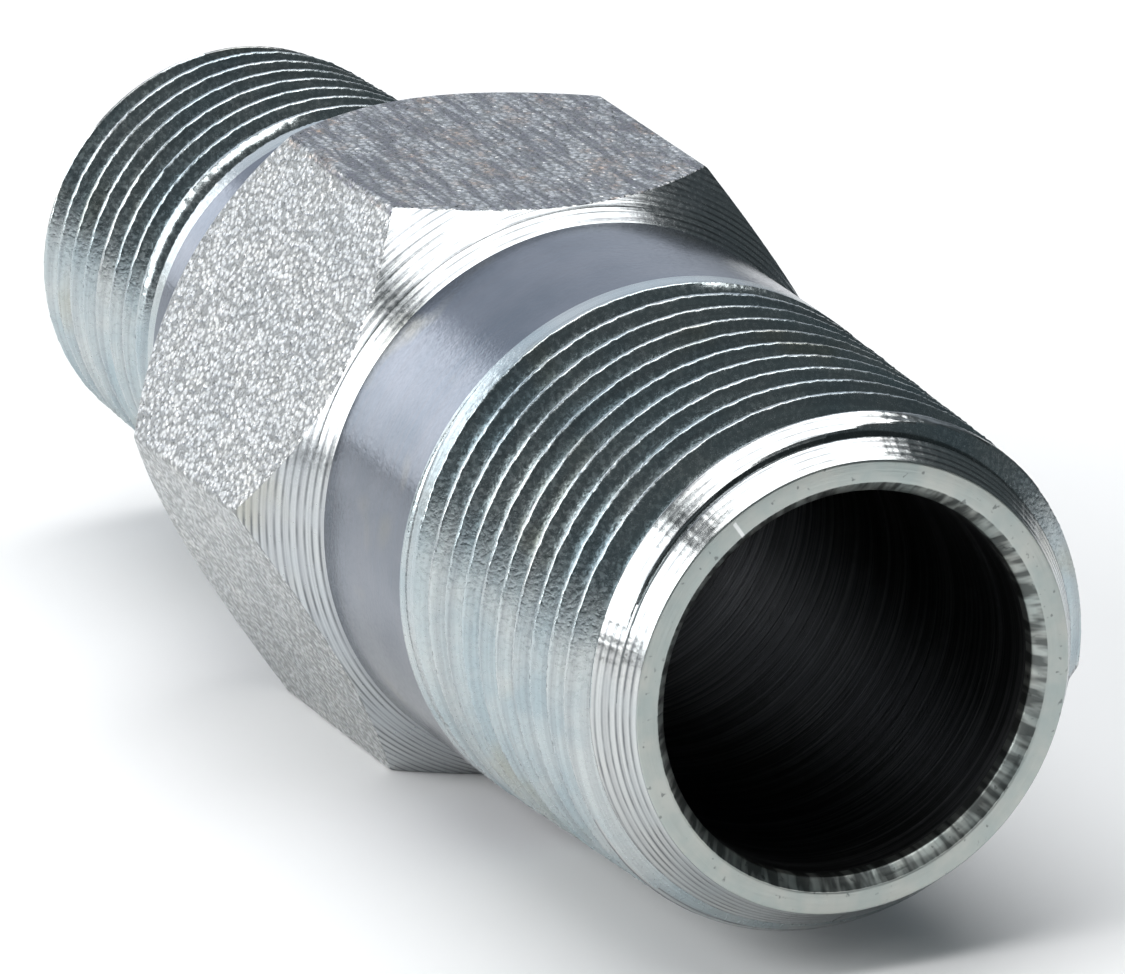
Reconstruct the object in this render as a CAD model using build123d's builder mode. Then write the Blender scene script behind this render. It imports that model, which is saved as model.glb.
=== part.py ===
# Reducing hex nipple for steel pipe: 3/4 male taper thread in front, 1/2 male taper thread behind, and a
# hexagon between them, bored through.
# Frame: millimetres. +X runs along the bore to the front (3/4) end, +Z is square to the top flat of the
# hexagon, and the origin is on the bore axis at the middle of the hexagon.
# The real nipple is one piece of bar. It is split here at its own machined edges into a hexagon, two plain
# necks and two threaded ends, which meet face to face with no gap.
from build123d import *
import math
import os

os.makedirs("parts", exist_ok=True)

# ---- driving dimensions -------------------------------------------------------------------------------
OVERALL_LENGTH = 76.2
FRONT_LENGTH = 40.85            # from the middle of the hexagon to the front end face
HEX_LENGTH = 20.8               # measured neck to neck, so it takes in both turned cones
ACROSS_FLATS = 28.575
HEX_CORNER_ROUNDING = 0.3       # drawn bar has slightly soft corners
HEX_CONE_ANGLE = 34.0           # between the turned cone and the axis
HEX_FACE_DIAMETER = 27.2        # where each cone ends
FRONT_NECK_DIAMETER = 27.2
REAR_NECK_DIAMETER = 21.7
FRONT_THREAD_LENGTH = 20.1
REAR_THREAD_LENGTH = 17.0
FRONT_BORE_DIAMETER = 18.85
REAR_BORE_DIAMETER = 13.87
BORE_STEP_X = -3.0              # the large drill stops here, inside the hexagon
DRILL_HALF_ANGLE = 59.0
BORE_CHAMFER = 0.6
NOSE_CONE_ANGLE = 30.0          # between the nose cone and the axis
FRONT_FACE_DIAMETER = 22.1
REAR_FACE_DIAMETER = 17.2

# ---- American taper pipe thread, 14 to the inch at both ends -------------------------------------------
PITCH = 25.4 / 14
TAPER = 1 / 32                  # on the radius, so 1 in 16 on the diameter
FRONT_PITCH_DIAMETER = 24.579   # at the end face
REAR_PITCH_DIAMETER = 19.264
THREAD_DEPTH = 0.76 * PITCH
ROOT_FLAT = 0.06 * PITCH
FLANK_ANGLE = 30.0
CUTTER_CLEARANCE = 0.05 * PITCH
FRONT_CUTTER_LEAD = 0.9 * PITCH     # the cutter starts this far ahead of the end face and leaves as far past
REAR_CUTTER_LEAD = 2.05 * PITCH
FRONT_GROOVE_ANGLE = 18.4       # where the groove meets the end face, turned about the axis from +Y
REAR_GROOVE_ANGLE = 84.0

# ---- worked-out sizes ----------------------------------------------------------------------------------
REAR_LENGTH = OVERALL_LENGTH - FRONT_LENGTH
HEX_END_X = HEX_LENGTH / 2
FRONT_THREAD_X = FRONT_LENGTH - FRONT_THREAD_LENGTH
REAR_THREAD_X = -(REAR_LENGTH - REAR_THREAD_LENGTH)
FRONT_BORE_RADIUS = FRONT_BORE_DIAMETER / 2
REAR_BORE_RADIUS = REAR_BORE_DIAMETER / 2
CORNER_RADIUS = ACROSS_FLATS / math.sqrt(3)


def tangent(angle):
    return math.tan(math.radians(angle))


# ---- hexagon: bar section turned to a cone at both ends, with the step of the bore inside it ------------
cone_length = (CORNER_RADIUS - HEX_FACE_DIAMETER / 2) / tangent(HEX_CONE_ANGLE)
drill_point_length = (FRONT_BORE_RADIUS - REAR_BORE_RADIUS) / tangent(DRILL_HALF_ANGLE)
# A straight profile edge held as a spline, so that the cone meets the flats in spline edges.
def straight_cone(start, end):
    middle = ((start[0] + end[0]) / 2, (start[1] + end[1]) / 2)
    Bezier(start, middle, end)


with BuildPart() as hex_body:
    with BuildSketch(Plane.YZ.offset(-HEX_END_X)):
        RegularPolygon(CORNER_RADIUS, 6)
        fillet(vertices(), HEX_CORNER_ROUNDING)
    extrude(amount=HEX_LENGTH)
    with BuildSketch(Plane.XZ):
        with BuildLine():
            rear_face_edge = (-HEX_END_X, HEX_FACE_DIAMETER / 2)
            rear_cone_end = (-HEX_END_X + cone_length, CORNER_RADIUS)
            front_cone_end = (HEX_END_X - cone_length, CORNER_RADIUS)
            front_face_edge = (HEX_END_X, HEX_FACE_DIAMETER / 2)
            straight_cone(rear_face_edge, rear_cone_end)
            Line(rear_cone_end, front_cone_end)
            straight_cone(front_cone_end, front_face_edge)
            Polyline(
                front_face_edge,
                (HEX_END_X, FRONT_BORE_RADIUS),
                (BORE_STEP_X, FRONT_BORE_RADIUS),
                (BORE_STEP_X - drill_point_length, REAR_BORE_RADIUS),
                (-HEX_END_X, REAR_BORE_RADIUS),
                rear_face_edge,
            )
        make_face()
    revolve(axis=Axis.X, mode=Mode.INTERSECT)
hex_body.part.label = "hex_body"
export_step(hex_body.part, "parts/hex_body.step")


# ---- necks: plain turned cylinders between the hexagon and the threads ----------------------------------
def make_neck(label, start_x, end_x, neck_radius, bore_radius):
    with BuildPart() as neck:
        with BuildSketch(Plane.YZ.offset(start_x)):
            Circle(neck_radius)
            Circle(bore_radius, mode=Mode.SUBTRACT)
        extrude(amount=end_x - start_x)
    neck.part.label = label
    export_step(neck.part, "parts/" + label + ".step")


make_neck("front_neck", HEX_END_X, FRONT_THREAD_X, FRONT_NECK_DIAMETER / 2, FRONT_BORE_RADIUS)
make_neck("rear_neck", REAR_THREAD_X, -HEX_END_X, REAR_NECK_DIAMETER / 2, REAR_BORE_RADIUS)


# ---- threaded ends --------------------------------------------------------------------------------------
# Each is a tapered blank with a nose cone and a right-hand V groove cut along a helix. It is cut with its
# end face at x = 0 looking along -X, then turned and moved to its place.
def cut_thread(length, pitch_diameter, face_radius, bore_radius, lead):
    crest = pitch_diameter / 2 + THREAD_DEPTH / 2
    nose_depth = (crest - face_radius) / (tangent(NOSE_CONE_ANGLE) - TAPER)
    groove_root = crest - THREAD_DEPTH - TAPER * lead
    groove_top = groove_root + THREAD_DEPTH + CUTTER_CLEARANCE
    half_opening = ROOT_FLAT / 2 + (groove_top - groove_root) * tangent(FLANK_ANGLE)
    with BuildPart() as thread:
        with BuildSketch(Plane.XZ):
            with BuildLine():
                Polyline(
                    (length, bore_radius),
                    (length, crest + TAPER * length),
                    (nose_depth, crest + TAPER * nose_depth),
                    (0, face_radius),
                    (0, bore_radius + BORE_CHAMFER),
                    (BORE_CHAMFER, bore_radius),
                    close=True,
                )
            make_face()
        revolve(axis=Axis.X)
        with BuildLine():
            Helix(
                pitch=PITCH,
                height=length + 2 * lead,
                radius=groove_root,
                center=(-lead, 0, 0),
                direction=(1, 0, 0),
                cone_angle=math.degrees(math.atan(TAPER)),
            )
        helix = thread.pending_edges[0]
        outward = Vector(0, (helix @ 0).Y, (helix @ 0).Z).normalized()
        with BuildSketch(Plane((-lead, 0, 0), x_dir=(1, 0, 0), z_dir=Vector(1, 0, 0).cross(outward))):
            with BuildLine():
                Polyline(
                    (-ROOT_FLAT / 2, groove_root),
                    (-half_opening, groove_top),
                    (half_opening, groove_top),
                    (ROOT_FLAT / 2, groove_root),
                    close=True,
                )
            make_face()
        axis_line = Edge.make_line((-lead, 0, 0), (length + lead, 0, 0))
        sweep(path=helix, binormal=axis_line, mode=Mode.SUBTRACT)
    start_angle = math.degrees(math.atan2(outward.Z, outward.Y)) + 360 * lead / PITCH
    return thread.part.rotate(Axis.X, -start_angle)


def save_thread(label, part):
    part.label = label
    export_step(part, "parts/" + label + ".step")


front_cut = cut_thread(
    FRONT_THREAD_LENGTH,
    FRONT_PITCH_DIAMETER,
    FRONT_FACE_DIAMETER / 2,
    FRONT_BORE_RADIUS,
    FRONT_CUTTER_LEAD,
)
front_turned = front_cut.rotate(Axis.Z, 180).rotate(Axis.X, FRONT_GROOVE_ANGLE - 180)
save_thread("front_thread", front_turned.moved(Location((FRONT_LENGTH, 0, 0))))

rear_cut = cut_thread(
    REAR_THREAD_LENGTH,
    REAR_PITCH_DIAMETER,
    REAR_FACE_DIAMETER / 2,
    REAR_BORE_RADIUS,
    REAR_CUTTER_LEAD,
)
rear_turned = rear_cut.rotate(Axis.X, REAR_GROOVE_ANGLE)
save_thread("rear_thread", rear_turned.moved(Location((-REAR_LENGTH, 0, 0))))
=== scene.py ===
# Zinc-plated reducing hex nipple in a plain studio. Lengths in the shape code are millimetres in the row
# frame (+X along the bore to the larger thread, +Z out of the top flat) and become metres in make_piece.
import math

import bpy
import numpy as np
from mathutils import Matrix, Vector


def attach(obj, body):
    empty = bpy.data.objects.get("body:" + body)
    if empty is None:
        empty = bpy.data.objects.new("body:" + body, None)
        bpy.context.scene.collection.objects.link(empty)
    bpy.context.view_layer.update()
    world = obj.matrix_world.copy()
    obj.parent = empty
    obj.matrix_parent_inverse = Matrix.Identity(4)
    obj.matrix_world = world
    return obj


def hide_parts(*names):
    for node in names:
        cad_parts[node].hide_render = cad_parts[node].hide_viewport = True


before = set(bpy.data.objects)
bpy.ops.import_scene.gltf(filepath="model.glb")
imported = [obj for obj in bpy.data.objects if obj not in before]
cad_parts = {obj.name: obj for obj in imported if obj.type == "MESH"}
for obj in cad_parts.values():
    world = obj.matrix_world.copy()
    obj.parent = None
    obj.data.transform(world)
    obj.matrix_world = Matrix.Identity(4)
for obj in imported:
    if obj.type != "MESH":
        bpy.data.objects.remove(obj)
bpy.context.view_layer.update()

# ---- sizes, as in the CAD model ------------------------------------------------------------------------
PITCH = 25.4 / 14
TAPER = 1 / 32
DEPTH = 0.76 * PITCH
FRONT_END = 40.85
REAR_END = -35.35
HEX_END = 10.4
HALF_FLATS = 28.575 / 2
CORNER_ROUNDING = 0.3
CONE_SLOPE = math.tan(math.radians(34.0))
SEAM_RADIUS = 13.6
FRONT_THREAD_START = 20.75
REAR_THREAD_START = -18.35
REAR_NECK_RADIUS = 10.85
FRONT_BORE = 9.425
REAR_BORE = 6.935
BORE_STEP = -3.0
DRILL_POINT = (FRONT_BORE - REAR_BORE) / math.tan(math.radians(59.0))
NOSE_SLOPE = math.tan(math.radians(30.0))
CHAMFER = 0.6
FRONT_PITCH_RADIUS = 24.579 / 2
REAR_PITCH_RADIUS = 19.264 / 2
FRONT_PHASE = 1.75                # a crest's x at +Y, less a whole number of pitches
REAR_PHASE = 1.42
UNDER = math.radians(270)       # the meshes' seam runs along the underside


def smooth_step(t):
    t = np.clip(t, 0.0, 1.0)
    return t * t * (3 - 2 * t)


def waves(seed, count, low, high):
    """Fixed amplitudes, whole-number frequencies and phases of a sum of sines that closes round the axis."""
    rng = np.random.default_rng(seed)
    return rng.uniform(0.4, 1.0, count), rng.integers(low, high, count), rng.uniform(0, 6.283, count)


def wobble(theta, shift, table):
    total = 0.0
    for amplitude, frequency, phase in zip(*table):
        total = total + amplitude * np.sin(frequency * theta + phase + shift * (1.7 + 0.37 * phase))
    return total / math.sqrt(len(table[0]))


# ---- mesh helpers --------------------------------------------------------------------------------------
def make_piece(name, parts, nodes, materials):
    """One object from grids of points, each (x, y, z arrays, material index or an array of them)."""
    verts = []
    faces = []
    indices = []
    base = 0
    for x, y, z, index in parts:
        rows, columns = x.shape
        verts.append(np.stack([x, y, z], axis=-1).reshape(-1, 3) * 0.001)
        number = base + np.arange(rows * columns).reshape(rows, columns)
        quads = np.stack([number[:-1, :-1], number[:-1, 1:], number[1:, 1:], number[1:, :-1]], axis=-1)
        faces.append(quads.reshape(-1, 4))
        indices.append(np.broadcast_to(index, x.shape)[:-1, :-1].reshape(-1))
        base += rows * columns
    verts = np.concatenate(verts)
    faces = np.concatenate(faces)
    indices = np.concatenate(indices)
    # points that fall together become one, and faces that shrink to a line go
    key = np.round(verts * 2e6).astype(np.int64)
    _, first, inverse = np.unique(key, axis=0, return_index=True, return_inverse=True)
    inverse = inverse.reshape(-1)
    verts = verts[first]
    faces = inverse[faces]
    polygons = []
    kept = []
    for corners, index in zip(faces.tolist(), indices.tolist()):
        ring = [c for i, c in enumerate(corners) if c != corners[i - 1]]
        if len(ring) > 2 and len(set(ring)) == len(ring):
            polygons.append(ring)
            kept.append(index)
    mesh = bpy.data.meshes.new(name)
    mesh.from_pydata(verts.tolist(), [], polygons)
    for material in materials:
        mesh.materials.append(material)
    mesh.polygons.foreach_set("material_index", kept)
    mesh.polygons.foreach_set("use_smooth", [True] * len(polygons))
    mesh.update()
    mesh.validate()
    piece = bpy.data.objects.new(name, mesh)
    bpy.context.scene.collection.objects.link(piece)
    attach(piece, "root")
    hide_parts(*nodes)
    return piece


def around(x, radius, theta):
    return x, radius * np.cos(theta), radius * np.sin(theta)


def turned(profile, columns, index, wave=None):
    """A surface turned about the bore axis from (x, radius) points, ordered so that it faces outwards."""
    profile = np.array(profile, dtype=float)
    theta = UNDER + np.linspace(0, 2 * math.pi, columns + 1)
    x = np.repeat(profile[:, :1], columns + 1, axis=1)
    r = np.repeat(profile[:, 1:], columns + 1, axis=1)
    if wave is not None:
        r = r + wave(x, r, theta[None, :])
    return (*around(x, r, np.repeat(theta[None, :], len(profile), axis=0)), index)


def rounded(points, radius=0.06, steps=3):
    """The profile with each inner corner replaced by a short arc-like run."""
    points = [np.array(p, dtype=float) for p in points]
    run = [points[0]]
    for before, corner, after in zip(points[:-2], points[1:-1], points[2:]):
        a = corner + (before - corner) * min(0.45, radius / np.linalg.norm(before - corner))
        b = corner + (after - corner) * min(0.45, radius / np.linalg.norm(after - corner))
        for k in range(steps + 1):
            t = k / steps
            run.append((1 - t) ** 2 * a + 2 * t * (1 - t) * corner + t * t * b)
    run.append(points[-1])
    return run


# ---- threaded ends -------------------------------------------------------------------------------------
def thread_grid(x_low, x_high, crest_phase, radius_at, columns, fine_from, fine_to):
    """A grid whose rows follow the helix, so that crests and roots are unbroken lines."""
    offsets = [0.0, 0.05, 0.1, 0.15, 0.45, 0.8, 0.86, PITCH / 2, PITCH - 0.86, PITCH - 0.8, PITCH - 0.45]
    offsets += [PITCH - 0.15, PITCH - 0.1, PITCH - 0.05]
    first = math.floor((x_low - crest_phase) / PITCH) - 2
    last = math.ceil((x_high - crest_phase) / PITCH) + 2
    rows = []
    for turn in range(first, last):
        edges = offsets + [PITCH]
        start = crest_phase + turn * PITCH
        for k, offset in enumerate(offsets):
            rows.append(start + offset)
            if fine_from < start + offset < fine_to:
                gap = edges[k + 1] - offset
                pieces = max(1, round(gap / 0.07))
                rows += [start + offset + gap * i / pieces for i in range(1, pieces)]
    theta = UNDER - 2 * math.pi + np.linspace(0, 2 * math.pi, columns + 1)
    s = np.array(rows)[:, None]
    x = np.clip(s + PITCH * theta[None, :] / (2 * math.pi), x_low, x_high)
    theta = np.repeat(theta[None, :], len(rows), axis=0)
    return x, theta, around(x, radius_at(x, theta), theta)


def groove_radius(x, theta, crest_phase, crest, depth_share):
    """Radius of the V groove at each point, as if the blank were endless."""
    turn = (x - crest_phase - PITCH / 2 - PITCH * theta / (2 * math.pi)) / PITCH
    offset = (turn - np.round(turn)) * PITCH
    root = crest - DEPTH * depth_share(x - offset)
    away = np.sqrt(offset * offset + 0.03 ** 2)
    return root + np.maximum(0.0, away - 0.05) / math.tan(math.radians(29.6))


def torn_crest(x, theta, crest_phase, groove, blank):
    """How far the torn, flattened crests stand below the blank."""
    crest_number = np.round((x - crest_phase - PITCH * theta / (2 * math.pi)) / PITCH)
    torn = 0.035 * (0.9 + wobble(theta, crest_number, TOOTH_WAVES))
    near = smooth_step((groove - blank + 0.12) / 0.16)
    return near * np.clip(torn, 0.0, 0.11)


TOOTH_WAVES = waves(23, 16, 25, 300)


def front_nose(x):
    return 11.05 + (FRONT_END - x) * NOSE_SLOPE


def front_shape(x, theta):
    """Radii of the blank, with its nose cone, and of the groove at the larger end."""
    crest = np.minimum(12.979 + (FRONT_END - x) * TAPER, SEAM_RADIUS)
    # the last crest was raised again by the threading tool where its groove starts
    crest_number = np.round((x - FRONT_PHASE - PITCH * theta / (2 * math.pi)) / PITCH)
    degrees = np.degrees(theta)
    raised = smooth_step((degrees + 10) / 4) * (1 - smooth_step((degrees - 35) / 60)) * (crest_number == 20)
    nose = front_nose(x)
    nose = nose + raised * np.maximum(crest - nose, 0)
    share = lambda centre: np.clip((centre - 19.5) / 1.8, 0, 1) ** 1.4
    groove = groove_radius(x, theta, FRONT_PHASE, 12.979 + (FRONT_END - x) * TAPER, share)
    return np.minimum(crest, nose), groove, nose < crest


def front_radius(x, theta):
    blank, groove, on_nose = front_shape(x, theta)
    torn = torn_crest(x, theta, FRONT_PHASE, groove, blank) * smooth_step((x - 20.0) / 0.8)
    return np.minimum(blank - torn * np.where(on_nose, 0.3, 1.0), groove)


def rear_shape(x, theta):
    """Radii of the blank, with its nose cone, and of the groove at the smaller end."""
    crest = np.minimum(10.321 + (x - REAR_END) * TAPER, REAR_NECK_RADIUS)
    nose = 8.6 + (x - REAR_END) * NOSE_SLOPE
    share = lambda centre: np.clip((-17.2 - centre) / 1.8, 0, 1) ** 1.4
    groove = groove_radius(x, theta, REAR_PHASE, 10.321 + (x - REAR_END) * TAPER, share)
    return np.minimum(crest, nose), groove, nose < crest


def rear_radius(x, theta):
    blank, groove, on_nose = rear_shape(x, theta)
    torn = torn_crest(x, theta, REAR_PHASE, groove, blank) * smooth_step((-17.5 - x) / 0.8)
    return np.minimum(blank - torn * np.where(on_nose, 0.3, 1.0), groove)


def end_profile(face_x, face_radius, bore, inward):
    """From the nose cone over the end face and the chamfer to the bore, as (x, radius)."""
    points = [
        (face_x + inward * 0.3, face_radius + 0.3 * NOSE_SLOPE),
        (face_x, face_radius),
        (face_x, bore + CHAMFER),
        (face_x + inward * CHAMFER, bore),
        (face_x + inward * 1.2, bore),
    ]
    run = rounded(points, 0.09)
    return run


# ---- materials -----------------------------------------------------------------------------------------
class Finish:
    """A node material on Principled BSDF, with short helpers for its textures."""

    def __init__(self, name, metallic=1.0):
        self.material = bpy.data.materials.new(name)
        self.material.use_nodes = True
        self.tree = self.material.node_tree
        self.bsdf = self.tree.nodes["Principled BSDF"]
        self.bsdf.inputs["Metallic"].default_value = metallic
        coordinates = self.tree.nodes.new("ShaderNodeTexCoord")
        self.mm = self.scaled(coordinates.outputs["Object"], (1000, 1000, 1000))
        split = self.tree.nodes.new("ShaderNodeSeparateXYZ")
        self.link(self.mm, split.inputs[0])
        self.x, self.y, self.z = split.outputs
        self.angle = self.math("ARCTAN2", self.z, self.y)
        self.radius = self.math("SQRT", self.math("ADD", self.math("MULTIPLY", self.y, self.y),
                                                  self.math("MULTIPLY", self.z, self.z)))

    def link(self, output, socket):
        self.tree.links.new(output, socket)

    def put(self, value, socket):
        if isinstance(value, bpy.types.NodeSocket):
            self.link(value, socket)
        else:
            socket.default_value = value

    def scaled(self, vector, scale):
        node = self.tree.nodes.new("ShaderNodeMapping")
        node.inputs["Scale"].default_value = scale
        self.link(vector, node.inputs["Vector"])
        return node.outputs["Vector"]

    def math(self, operation, a, b=0.0, clamp=False):
        node = self.tree.nodes.new("ShaderNodeMath")
        node.operation = operation
        node.use_clamp = clamp
        self.put(a, node.inputs[0])
        self.put(b, node.inputs[1])
        return node.outputs[0]

    def vector(self, x, y, z):
        node = self.tree.nodes.new("ShaderNodeCombineXYZ")
        for value, socket in zip((x, y, z), node.inputs):
            self.put(value, socket)
        return node.outputs[0]

    def noise(self, scale, detail=4.0, rough=0.55, stretch=(1, 1, 1), vector=None):
        node = self.tree.nodes.new("ShaderNodeTexNoise")
        node.inputs["Scale"].default_value = scale
        node.inputs["Detail"].default_value = detail
        node.inputs["Roughness"].default_value = rough
        source = vector if vector is not None else self.mm
        self.link(self.scaled(source, stretch), node.inputs["Vector"])
        return node.outputs["Fac"]

    def cells(self, scale, stretch=(1, 1, 1)):
        node = self.tree.nodes.new("ShaderNodeTexVoronoi")
        node.inputs["Scale"].default_value = scale
        self.link(self.scaled(self.mm, stretch), node.inputs["Vector"])
        return node.outputs["Distance"], node.outputs["Color"]

    def ramp(self, factor, *stops):
        node = self.tree.nodes.new("ShaderNodeValToRGB")
        elements = node.color_ramp.elements
        while len(elements) < len(stops):
            elements.new(0.5)
        for element, (position, colour) in zip(elements, stops):
            element.position = position
            element.color = (*colour, 1) if isinstance(colour, tuple) else (colour, colour, colour, 1)
        self.link(factor, node.inputs["Fac"])
        return node.outputs["Color"]

    def mix(self, factor, a, b, blend="MIX"):
        node = self.tree.nodes.new("ShaderNodeMix")
        node.data_type = "RGBA"
        node.blend_type = blend
        self.put(factor, node.inputs["Factor"])
        self.put((*a, 1) if isinstance(a, tuple) else a, node.inputs[6])
        self.put((*b, 1) if isinstance(b, tuple) else b, node.inputs[7])
        return node.outputs[2]

    def between(self, value, low, high, soft):
        """1 where low < value < high, falling to 0 over soft on either side."""
        up = self.tree.nodes.new("ShaderNodeMapRange")
        up.interpolation_type = "SMOOTHSTEP"
        self.put(value, up.inputs["Value"])
        up.inputs["From Min"].default_value = low - soft
        up.inputs["From Max"].default_value = low
        down = self.tree.nodes.new("ShaderNodeMapRange")
        down.interpolation_type = "SMOOTHSTEP"
        self.put(value, down.inputs["Value"])
        down.inputs["From Min"].default_value = high + soft
        down.inputs["From Max"].default_value = high
        return self.math("MULTIPLY", up.outputs[0], down.outputs[0])

    def bump(self, height, distance_mm, strength=1.0, below=None):
        node = self.tree.nodes.new("ShaderNodeBump")
        node.inputs["Strength"].default_value = strength
        node.inputs["Distance"].default_value = distance_mm * 0.001
        self.link(height, node.inputs["Height"])
        if below is not None:
            self.link(below, node.inputs["Normal"])
        return node.outputs["Normal"]

    def finish(self, colour, roughness, normal=None):
        self.put(colour, self.bsdf.inputs["Base Color"])
        self.put(roughness, self.bsdf.inputs["Roughness"])
        if normal is not None:
            self.link(normal, self.bsdf.inputs["Normal"])
        return self.material


def flats_finish():
    """Drawn hexagon bar: a fine sparkling grain and streaks; on the top flat, brownish stains and heavier
    dark streaks, partly painted shade that darkens that flat.
    """
    f = Finish("zinc_on_drawn_flats")
    grain = f.noise(3.6, 2.0, 0.5)
    pits = f.cells(3.4)[0]
    cloud = f.noise(0.35, 4.0, 0.6)
    streaks = f.noise(1.0, 4.0, 0.6, (0.35, 2.4, 2.4))
    # top flat only: brownish stain patches plus painted shade that darkens this one flat
    top_flat_stain_and_shade = f.between(f.z, 14.0, 15.0, 0.15)
    tint = f.ramp(cloud, (0.35, (0.59, 0.61, 0.62)), (0.55, (0.66, 0.67, 0.67)), (0.75, (0.70, 0.70, 0.68)))
    top_stain_and_shade_patches = f.ramp(f.noise(0.42, 5.0, 0.7), (0.50, 0.0), (0.64, 1.0))
    colour = f.mix(f.math("MULTIPLY", f.math("MULTIPLY", top_flat_stain_and_shade, top_stain_and_shade_patches), 0.85), tint, (0.42, 0.27, 0.18))
    dark_streaks = f.ramp(streaks, (0.42, 1.0), (0.56, 0.0))
    # dark streaks weigh 0.85 on the top flat, where they are painted shade, against 0.12 on the other flats
    share = f.math("ADD", f.math("MULTIPLY", top_flat_stain_and_shade, 0.85), 0.12)
    colour = f.mix(f.math("MULTIPLY", dark_streaks, share), colour, (0.17, 0.17, 0.20))
    colour = f.mix(f.ramp(pits, (0.34, 0.0), (0.60, 0.75)), colour, (0.16, 0.17, 0.17))
    roughness = f.ramp(grain, (0.3, 0.20), (0.7, 0.38))
    normal = f.bump(grain, 0.13)
    normal = f.bump(pits, 0.06, 1.0, normal)
    return f.finish(colour, roughness, normal)


def turned_finish(
    name, colour_a, colour_b, rough_low, rough_high, groove_mm, sparkle_mm=0.004, feed_mm=None, roots=None
):
    """A lathe-turned face: fine lines round the axis, a slow drift of tint and a fine sparkle.

    feed_mm is the spacing of plain tool rings on a cone. roots is (end x, pitch radius, growth per mm of x)
    of a taper thread, whose groove bottoms get painted shade, a near-black colour. The finish is the same
    all the way round.
    """
    f = Finish(name)
    cloud = f.noise(0.25, 3.0, 0.55)
    rings = f.noise(1.0, 3.0, 0.6, (9.0, 0.05, 0.05))
    speck = f.noise(4.5, 2.0, 0.5)
    colour = f.ramp(cloud, (0.35, colour_a), (0.65, colour_b))
    colour = f.mix(f.ramp(rings, (0.3, 0.4), (0.6, 0.0)), colour, (0.2, 0.2, 0.22))
    passivated = f.ramp(f.noise(0.16, 2.0, 0.5), (0.60, 0.0), (0.72, 0.35))
    colour = f.mix(passivated, colour, (0.40, 0.36, 0.22))
    if roots is not None:
        end_x, pitch_radius, growth = roots
        pitch_line = f.math("ADD", f.math("MULTIPLY", f.math("SUBTRACT", f.x, end_x), growth), pitch_radius)
        height = f.math("SUBTRACT", f.radius, pitch_line)
        # painted shade: the thread's groove bottoms are darkened nearly to black
        painted_root_shade = f.math("MULTIPLY", f.between(height, -2.0, -0.42, 0.10), 0.8)
        colour = f.mix(painted_root_shade, colour, (0.08, 0.09, 0.09))
    normal = f.bump(rings, groove_mm)
    if feed_mm is not None:
        turns = f.math("MULTIPLY", f.radius, 2 * math.pi / feed_mm)
        ridge = f.math("ADD", f.math("MULTIPLY", f.math("SINE", turns), 0.5), 0.5)
        uneven = f.ramp(f.noise(0.5, 2.0, 0.5), (0.35, 0.35), (0.6, 0.85))
        colour = f.mix(f.math("MULTIPLY", f.math("POWER", ridge, 3.0), uneven), colour, (0.10, 0.11, 0.12))
        normal = f.bump(ridge, 0.012, 1.0, normal)
    roughness = f.ramp(speck, (0.3, rough_low), (0.7, rough_high))
    normal = f.bump(speck, sparkle_mm, 1.0, normal)
    return f.finish(colour, roughness, normal)


def end_face_finish():
    """The faced end: faint rings, nicks, one scratch, and chatter marks on the bore's chamfer."""
    f = Finish("zinc_on_end_face")
    rings = f.noise(1.0, 4.0, 0.6, (7.0, 0.4, 0.4), f.vector(f.radius, f.y, f.z))
    cloud = f.noise(0.5, 3.0, 0.6)
    nicks = f.noise(2.2, 2.0, 0.5)
    colour = f.ramp(cloud, (0.35, (0.40, 0.45, 0.435)), (0.65, (0.49, 0.51, 0.48)))
    colour = f.mix(f.ramp(nicks, (0.66, 0.0), (0.72, 0.7)), colour, (0.14, 0.15, 0.15))
    scratch = f.between(f.angle, math.radians(124.6), math.radians(125.2), math.radians(0.4))
    scratch = f.math("MULTIPLY", scratch, f.between(f.radius, 9.9, 10.8, 0.1))
    colour = f.mix(scratch, colour, (0.85, 0.87, 0.86))
    chamfers = f.math("MAXIMUM", f.between(f.radius, 9.3, 9.98, 0.05), f.between(f.radius, 6.8, 7.5, 0.05))
    round_mouth = f.vector(f.math("MULTIPLY", f.angle, 18.0), f.math("MULTIPLY", f.radius, 0.6), 0.0)
    chatter = f.noise(1.0, 2.0, 0.5, (1, 1, 1), round_mouth)
    marks = f.math("MULTIPLY", chamfers, f.ramp(chatter, (0.42, 0.8), (0.60, 0.0)))
    colour = f.mix(marks, colour, (0.05, 0.055, 0.055))
    normal = f.bump(rings, 0.012)
    normal = f.bump(f.math("MULTIPLY", chamfers, chatter), 0.05, 1.0, normal)
    return f.finish(colour, f.ramp(rings, (0.3, 0.32), (0.7, 0.45)), normal)


def bore_shade_finish():
    """The drilled bore: nearly black as painted shade inside the hole, with thin arcs left by the drill."""
    f = Finish("zinc_in_bore")
    rings = f.noise(1.0, 4.0, 0.65, (5.0, 0.06, 0.06))
    # the near-black base colour is painted shade; the paler arcs are drill marks
    colour = f.ramp(rings, (0.45, (0.05, 0.052, 0.055)), (0.66, (0.22, 0.225, 0.23)))
    return f.finish(colour, f.ramp(rings, (0.3, 0.3), (0.7, 0.5)), f.bump(rings, 0.03))


flats = flats_finish()
cones = turned_finish(
    "zinc_on_turned_cones", (0.50, 0.53, 0.55), (0.60, 0.62, 0.62), 0.16, 0.28, 0.012, feed_mm=0.24
)
necks = turned_finish(
    "zinc_on_turned_necks", (0.16, 0.185, 0.22), (0.21, 0.23, 0.265), 0.14, 0.24, 0.002, 0.007
)
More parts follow.
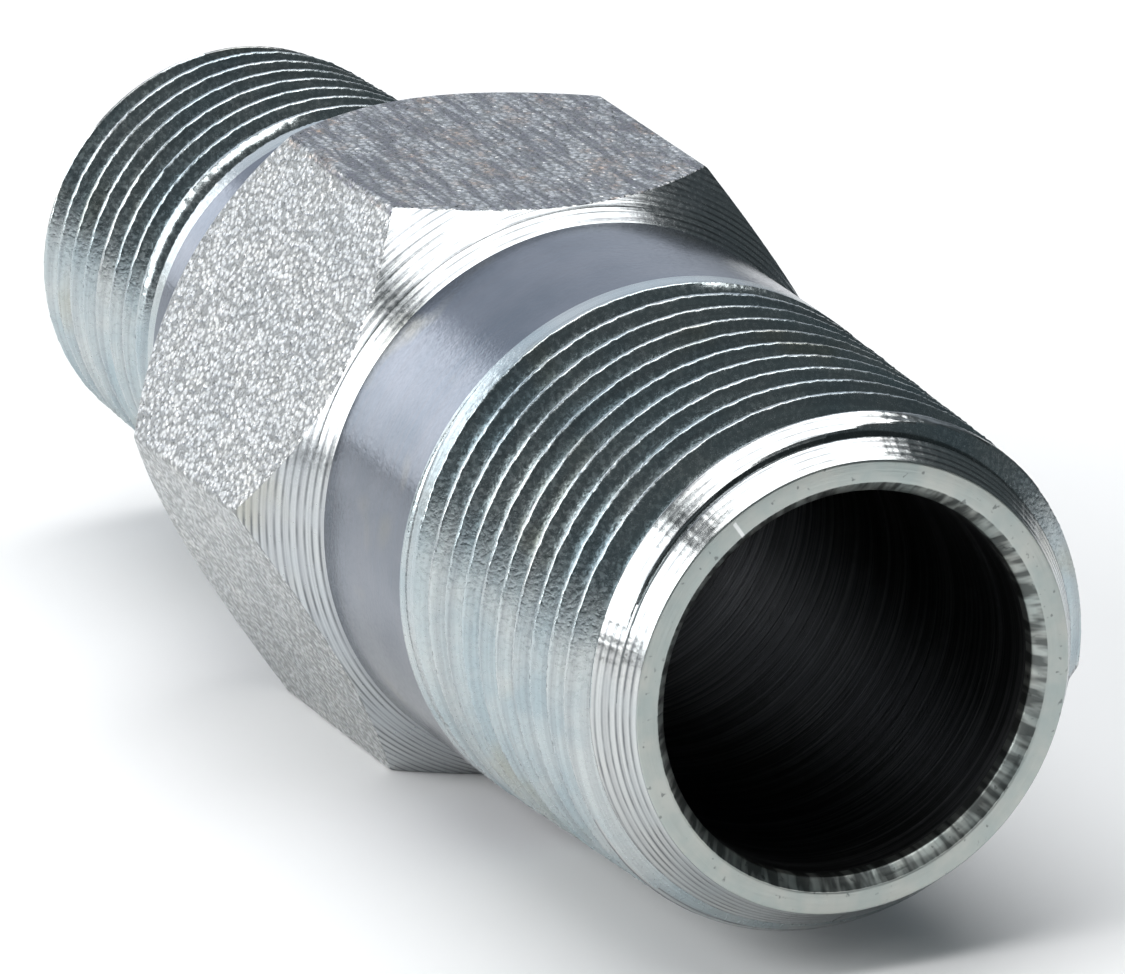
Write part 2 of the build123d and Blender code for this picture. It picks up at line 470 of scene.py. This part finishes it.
# both thread finishes paint shade into their groove bottoms
threads = turned_finish(
    "zinc_on_front_thread", (0.42, 0.50, 0.53), (0.56, 0.60, 0.60), 0.16, 0.32, 0.004, 0.016,
    roots=(FRONT_END, FRONT_PITCH_RADIUS, -TAPER),
)
rear_threads = turned_finish(
    "zinc_on_rear_thread", (0.42, 0.50, 0.53), (0.56, 0.60, 0.60), 0.16, 0.32, 0.004, 0.016,
    roots=(REAR_END, REAR_PITCH_RADIUS, TAPER),
)
noses = turned_finish(
    "zinc_on_turned_noses", (0.52, 0.56, 0.57), (0.62, 0.63, 0.62), 0.16, 0.26, 0.010, feed_mm=0.20
)
end_faces = end_face_finish()
bores = bore_shade_finish()

# ---- hexagon -------------------------------------------------------------------------------------------
RING_WAVES = waves(5, 9, 1, 9)


def hex_columns():
    """Angles round the hexagon, closer together at its six soft corners."""
    half = HALF_FLATS * math.tan(math.radians(30))
    near = [0.0, 0.03, 0.06, 0.09, 0.12, 0.15, 0.18, 0.24, 0.34]
    steps = np.linspace(0.34, half, 22)[1:]
    from_corner = near + steps.tolist()
    angles = []
    for flat in range(6):
        normal = 30 + 60 * flat
        for d in from_corner[:-1]:
            angles.append(normal - math.degrees(math.atan((half - d) / HALF_FLATS)))
        for d in reversed(from_corner):
            angles.append(normal + math.degrees(math.atan((half - d) / HALF_FLATS)))
    angles = sorted(set(round(a % 360, 6) for a in angles))
    angles = [a for a in angles if a >= 270] + [a + 360 for a in angles if a < 270] + [630]
    return np.radians(np.array(angles))


def hex_radius(theta):
    """Radius of the hexagon with its corners rounded off."""
    turn = (theta - math.radians(30)) / math.radians(60)
    from_normal = (turn - np.round(turn)) * math.radians(60)
    flat = HALF_FLATS / np.cos(from_normal)
    # circle of the corner rounding, centred on the corner's own radius
    centre = (HALF_FLATS - CORNER_ROUNDING) / math.cos(math.radians(30))
    off = math.radians(30) - np.abs(from_normal)
    inside = np.maximum(CORNER_ROUNDING ** 2 - (centre * np.sin(off)) ** 2, 0)
    arc = centre * np.cos(off) + np.sqrt(inside)
    touch = (HALF_FLATS - CORNER_ROUNDING) * math.tan(math.radians(30))
    on_arc = HALF_FLATS * np.tan(np.abs(from_normal)) > touch
    return np.where(on_arc, np.minimum(arc, flat), flat)


def ring_relief(depth_in, theta):
    """Shallow lathe cusps on the cones, counted from the seam inwards."""
    count = depth_in / 0.27
    whole = np.floor(count)
    cusp = np.abs(np.sin(math.pi * count))
    strength = 0.55 + 0.45 * np.sin(whole * 2.4) * np.cos(whole * 0.9 + 1)
    drift = 1 + 0.25 * wobble(theta, 0.6 * whole, RING_WAVES)
    return -0.011 * (1 - cusp) * strength * drift


def hexagon_parts():
    theta = hex_columns()
    outer = hex_radius(theta)
    reach = (outer - SEAM_RADIUS) / CONE_SLOPE          # how far in from the seam the cone meets the flat
    edge = 0.05
    parts = []
    for side in (1, -1):
        depth = np.arange(0, reach.max() + 0.05, 0.045)[:, None]
        depth = np.minimum(depth, (reach - edge)[None, :])
        r = SEAM_RADIUS + depth * CONE_SLOPE + ring_relief(depth, theta[None, :])
        r = np.where(depth < 0.02, SEAM_RADIUS, r)
        x = side * (HEX_END - depth)
        grid_theta = np.repeat(theta[None, :], len(depth), axis=0)
        grid = around(x, r, grid_theta)
        if side > 0:
            grid = tuple(g[::-1] for g in grid)
        parts.append((*grid, 1))
    rows = []
    radii = []
    for side in (-1, 1):
        first_drop = SEAM_RADIUS - outer + (reach - edge) * CONE_SLOPE
        steps = [(-edge, first_drop), (0.0, -0.012), (edge, 0.0), (0.12, 0.0)]
        pairs = [(side * (HEX_END - reach - step), outer + drop) for step, drop in steps]
        if side > 0:
            pairs = pairs[::-1]
        for x, r in pairs:
            rows.append(x)
            radii.append(r)
        if side < 0:
            inner = HEX_END - reach - 0.12
            for t in np.linspace(-0.94, 0.94, 13):
                rows.append(inner * t)
                radii.append(outer)
    x = np.array(rows)
    r = np.array(radii)
    grid_theta = np.repeat(theta[None, :], len(rows), axis=0)
    parts.append((*around(x, r, grid_theta), 0))
    return parts


bore_through_hex = [
    (HEX_END, FRONT_BORE),
    (BORE_STEP, FRONT_BORE),
    (BORE_STEP - DRILL_POINT, REAR_BORE),
    (-HEX_END, REAR_BORE),
]
shoulder = [(-HEX_END, REAR_NECK_RADIUS), (-HEX_END, SEAM_RADIUS)]
make_piece(
    "hexagon",
    hexagon_parts() + [turned(bore_through_hex, 96, 2), turned(shoulder, 192, 1)],
    ["hex_body"],
    [flats, cones, bores],
)

# ---- necks ---------------------------------------------------------------------------------------------
make_piece(
    "front_turned_neck",
    [
        turned([(x, SEAM_RADIUS) for x in np.linspace(HEX_END, 19.4, 12)], 256, 0),
        turned([(FRONT_THREAD_START, FRONT_BORE), (HEX_END, FRONT_BORE)], 96, 1),
    ],
    ["front_neck"],
    [necks, bores],
)
make_piece(
    "rear_turned_neck",
    [
        turned([(x, REAR_NECK_RADIUS) for x in np.linspace(-17.1, -HEX_END, 8)], 256, 0),
        turned([(-HEX_END, REAR_BORE), (REAR_THREAD_START, REAR_BORE)], 96, 1),
    ],
    ["rear_neck"],
    [necks, bores],
)

# ---- threads -------------------------------------------------------------------------------------------
x, theta, grid = thread_grid(19.4, FRONT_END - 0.3, FRONT_PHASE, front_radius, 540, 34.5, 41.0)
blank, groove, on_nose = front_shape(x, theta)
make_piece(
    "front_threaded_end",
    [
        (*grid, np.where(on_nose & (groove > blank - 0.02), 1, 0)),
        turned(end_profile(FRONT_END, 11.05, FRONT_BORE, -1)[:3], 256, 1),
        turned(end_profile(FRONT_END, 11.05, FRONT_BORE, -1)[2:], 256, 2),
        turned([(FRONT_END - 1.2, FRONT_BORE), (FRONT_THREAD_START, FRONT_BORE)], 96, 3),
    ],
    ["front_thread"],
    [threads, noses, end_faces, bores],
)
x, theta, grid = thread_grid(REAR_END + 0.3, -17.1, REAR_PHASE, rear_radius, 440, -36.0, -32.5)
blank, groove, on_nose = rear_shape(x, theta)
make_piece(
    "rear_threaded_end",
    [
        (*grid, np.where(on_nose & (groove > blank - 0.02), 1, 0)),
        turned(end_profile(REAR_END, 8.6, REAR_BORE, 1)[::-1], 256, 2),
        turned([(REAR_THREAD_START, REAR_BORE), (REAR_END + 1.2, REAR_BORE)], 96, 3),
    ],
    ["rear_thread"],
    [rear_threads, noses, end_faces, bores],
)

# ---- studio --------------------------------------------------------------------------------------------
floor_mesh = bpy.data.meshes.new("floor")
floor_z = -HALF_FLATS * 0.001
floor_mesh.from_pydata(
    [(-4, -4, floor_z), (4, -4, floor_z), (4, 4, floor_z), (-4, 4, floor_z)],
    [],
    [(0, 1, 2, 3)],
)
floor = bpy.data.objects.new("floor", floor_mesh)
bpy.context.scene.collection.objects.link(floor)
floor_finish = bpy.data.materials.new("pale_floor")
floor_finish.use_nodes = True
floor_finish.node_tree.nodes["Principled BSDF"].inputs["Base Color"].default_value = (0.93, 0.93, 0.93, 1)
floor_finish.node_tree.nodes["Principled BSDF"].inputs["Roughness"].default_value = 0.9
floor_finish.node_tree.nodes["Principled BSDF"].inputs["Specular IOR Level"].default_value = 0.1
floor_mesh.materials.append(floor_finish)

world = bpy.data.worlds.new("studio")
bpy.context.scene.world = world
bpy.context.scene.view_settings.view_transform = "Standard"
world.use_nodes = True
tree = world.node_tree
background = tree.nodes["Background"]
coordinates = tree.nodes.new("ShaderNodeTexCoord")


def glow(direction, start, full, colour, below):
    """Adds a soft patch of light round a direction of the studio to the colour below."""
    toward = tree.nodes.new("ShaderNodeVectorMath")
    toward.operation = "DOT_PRODUCT"
    toward.inputs[1].default_value = Vector(direction).normalized()
    tree.links.new(coordinates.outputs["Generated"], toward.inputs[0])
    spread = tree.nodes.new("ShaderNodeMapRange")
    spread.interpolation_type = "SMOOTHSTEP"
    spread.inputs["From Min"].default_value = start
    spread.inputs["From Max"].default_value = full
    tree.links.new(toward.outputs["Value"], spread.inputs["Value"])
    mix = tree.nodes.new("ShaderNodeMix")
    mix.data_type = "RGBA"
    tree.links.new(spread.outputs[0], mix.inputs["Factor"])
    if isinstance(below, tuple):
        mix.inputs[6].default_value = (*below, 1)
    else:
        tree.links.new(below, mix.inputs[6])
    mix.inputs[7].default_value = (*colour, 1)
    return mix.outputs[2]


# a dim grey room with one pale cloth behind the rear end
sky = glow((-0.86, 0.05, 0.38), 0.70, 0.95, (0.82, 0.88, 0.98), (0.07, 0.085, 0.09))
tree.links.new(sky, background.inputs["Color"])


def softbox(name, direction, distance, width, height, power, colour=(1, 1, 1)):
    light = bpy.data.lights.new(name, "AREA")
    light.shape = "RECTANGLE"
    light.size = width
    light.size_y = height
    light.energy = power
    light.color = colour
    lamp = bpy.data.objects.new(name, light)
    place = Vector(direction).normalized() * distance
    lamp.location = place
    lamp.rotation_euler = (-place).to_track_quat("-Z", "Y").to_euler()
    bpy.context.scene.collection.objects.link(lamp)
    return lamp


softbox("softbox_overhead", (-0.02, 0.05, 0.99), 0.6, 0.36, 0.85, 3.6)
softbox("softbox_left", (-0.05, -0.86, 0.42), 0.8, 0.60, 0.55, 5.0)
softbox("softbox_low_left", (-0.86, -0.46, 0.24), 0.9, 0.50, 0.42, 1.15)

# ---- camera --------------------------------------------------------------------------------------------
lens = bpy.data.cameras.new("camera")
lens.lens = 528.2
lens.sensor_width = 36.0
lens.sensor_fit = "HORIZONTAL"
lens.clip_start = 0.05
lens.clip_end = 20.0
camera = bpy.data.objects.new("camera", lens)
right = Vector((0.40985735, 0.91212588, 0.0065827))
down = Vector((0.29462726, -0.12555193, -0.94732861))
forward = Vector((-0.86325647, 0.39020903, -0.32019552))
rotation = Matrix((right, -down, -forward)).transposed()
camera.matrix_world = Matrix.Translation(Vector((0.69341, -0.30987, 0.25387))) @ rotation.to_4x4()
bpy.context.scene.collection.objects.link(camera)
bpy.context.scene.camera = camera
